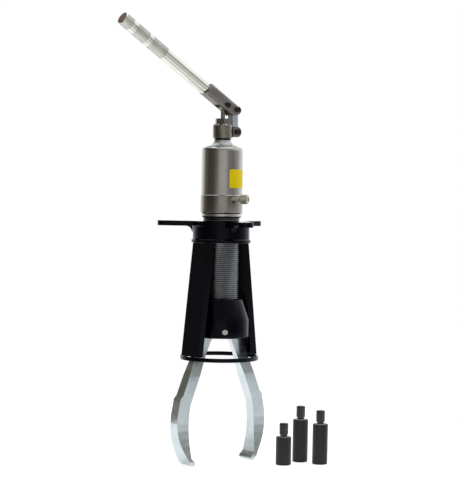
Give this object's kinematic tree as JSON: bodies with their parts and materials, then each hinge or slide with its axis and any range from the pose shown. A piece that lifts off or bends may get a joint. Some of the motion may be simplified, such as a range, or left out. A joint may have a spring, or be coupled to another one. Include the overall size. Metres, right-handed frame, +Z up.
{
  "type": "hydraulic jaw puller",
  "caption": "Self-contained hydraulic two-jaw puller: lever pump and ram cylinder on a threaded stem, a T-handle that runs a locking cage down over the jaws, and separate ram extension rods.",
  "frame": {"origin": "centre of the ram saddle's flat pressing face, with the ram fully in", "axes": "+Z up the tool axis from the ram saddle to the pump, +X and -X through the two jaws, pump lever towards -X"},
  "size_m": [0.3322, 0.1847, 0.6819],
  "materials": {
    "black_paint": "gloss",
    "grey_coat": "satin",
    "machined_steel": "machined",
    "spring_steel": "drawn wire",
    "zinc_plate": "bright zinc plate",
    "lever_aluminium": "satin",
    "lever_bracket_grey": "satin",
    "black_rubber": "matte",
    "yellow_label": "satin",
    "brown_plug": "matte",
    "black_oxide": "black oxide"
  },
  "bodies": {
    "cylinder_unit": {"jaw_head": "black_paint", "jaw_pin_left": "machined_steel", "jaw_pin_right": "machined_steel", "threaded_stem": "machined_steel", "rod_wiper": "black_rubber", "rod_gland": "machined_steel", "return_spring": "spring_steel", "lock_ring": "machined_steel", "cylinder_base": "grey_coat", "feed_tube": "machined_steel", "reservoir_bladder": "black_rubber", "cylinder_barrel": "grey_coat", "cylinder_cap": "machined_steel", "swivel_snap_ring": "machined_steel", "label_plate": "yellow_label"},
    "ram": {"ram_saddle": "machined_steel", "ram_rod": "machined_steel", "piston_seal": "black_rubber"},
    "cage": {"cage_collar": "black_paint", "cage_leg_right": "black_paint", "cage_leg_left": "black_paint", "cage_ring": "black_paint"},
    "t_handle": {"t_handle_plate": "black_paint", "t_handle_nut": "machined_steel", "retaining_ring": "machined_steel"},
    "left_jaw": {"jaw_left": "zinc_plate"},
    "right_jaw": {"jaw_right": "zinc_plate"},
    "pump_swivel": {"pump_body": "machined_steel", "swivel_o_ring": "black_rubber", "gland_nut": "zinc_plate", "link_pin": "black_oxide"},
    "pump_link": {"fulcrum_link": "machined_steel"},
    "lever": {"lever_bracket": "lever_bracket_grey", "lever_bar": "lever_aluminium", "end_plug": "brown_plug", "plunger_pin": "black_oxide", "fulcrum_pin": "black_oxide", "bar_set_screw": "black_oxide"},
    "plunger": {"pump_plunger": "machined_steel"},
    "release_valve": {"valve_stem": "machined_steel", "valve_knob": "machined_steel"},
    "short_rod": {"extension_rod_short": "black_oxide"},
    "medium_rod": {"extension_rod_medium": "black_oxide"},
    "long_rod": {"extension_rod_long": "black_oxide"}
  },
  "joints": [
    {"name": "ram_slide", "type": "slide", "parent": "cylinder_unit", "child": "ram", "axis": [0, 0, -1], "range_m": [0, 0.08], "deforming": ["return_spring"]},
    {"name": "cage_slide", "type": "slide", "parent": "cylinder_unit", "child": "cage", "axis": [0, 0, 1], "range_m": [-0.0397, 0.0056]},
    {"name": "t_handle_turn", "type": "hinge", "parent": "cage", "child": "t_handle", "pos_m": [0, 0, 0.176], "axis": [0, 0, 1], "range_deg": [-4500, 630]},
    {"name": "left_jaw_pivot", "type": "hinge", "parent": "cylinder_unit", "child": "left_jaw", "pos_m": [-0.0205, 0, 0.011], "axis": [0, -1, 0], "range_deg": [-1.8, 12.6]},
    {"name": "right_jaw_pivot", "type": "hinge", "parent": "cylinder_unit", "child": "right_jaw", "pos_m": [0.0205, 0, 0.011], "axis": [0, 1, 0], "range_deg": [-1.8, 12.6]},
    {"name": "pump_swivel_turn", "type": "hinge", "parent": "cylinder_unit", "child": "pump_swivel", "pos_m": [0, 0, 0.309], "axis": [0, 0, 1], "continuous": true},
    {"name": "pump_link_swing", "type": "hinge", "parent": "pump_swivel", "child": "pump_link", "pos_m": [0.0204, 0, 0.3181], "axis": [0, 1, 0], "range_deg": [-0.2, 3]},
    {"name": "lever_stroke", "type": "hinge", "parent": "pump_link", "child": "lever", "pos_m": [0.0195, 0, 0.3526], "axis": [0, -1, 0], "range_deg": [0, 35]},
    {"name": "plunger_slide", "type": "slide", "parent": "pump_swivel", "child": "plunger", "axis": [0, 0, -1], "range_m": [0, 0.0135]},
    {"name": "release_valve_turn", "type": "hinge", "parent": "cylinder_unit", "child": "release_valve", "pos_m": [-0.0027, -0.0324, 0.2145], "axis": [0.5592, -0.829, 0], "range_deg": [0, 270]},
    {"name": "short_rod_lift", "type": "slide", "parent": "cylinder_unit", "child": "short_rod", "axis": [0, 0, 1], "range_m": [0, 0.1]},
    {"name": "medium_rod_lift", "type": "slide", "parent": "cylinder_unit", "child": "medium_rod", "axis": [0, 0, 1], "range_m": [0, 0.1]},
    {"name": "long_rod_lift", "type": "slide", "parent": "cylinder_unit", "child": "long_rod", "axis": [0, 0, 1], "range_m": [0, 0.1]}
  ],
  "couplings": [
    {"joint": "cage_slide", "follows": "t_handle_turn", "m_per_rad": 0.00050532},
    {"joint": "left_jaw_pivot", "follows": "t_handle_turn", "ratio": -0.0027792},
    {"joint": "right_jaw_pivot", "follows": "t_handle_turn", "ratio": -0.0027792},
    {"joint": "pump_link_swing", "follows": "lever_stroke", "ratio": 0.0275},
    {"joint": "plunger_slide", "follows": "lever_stroke", "m_per_rad": 0.0195}
  ]
}
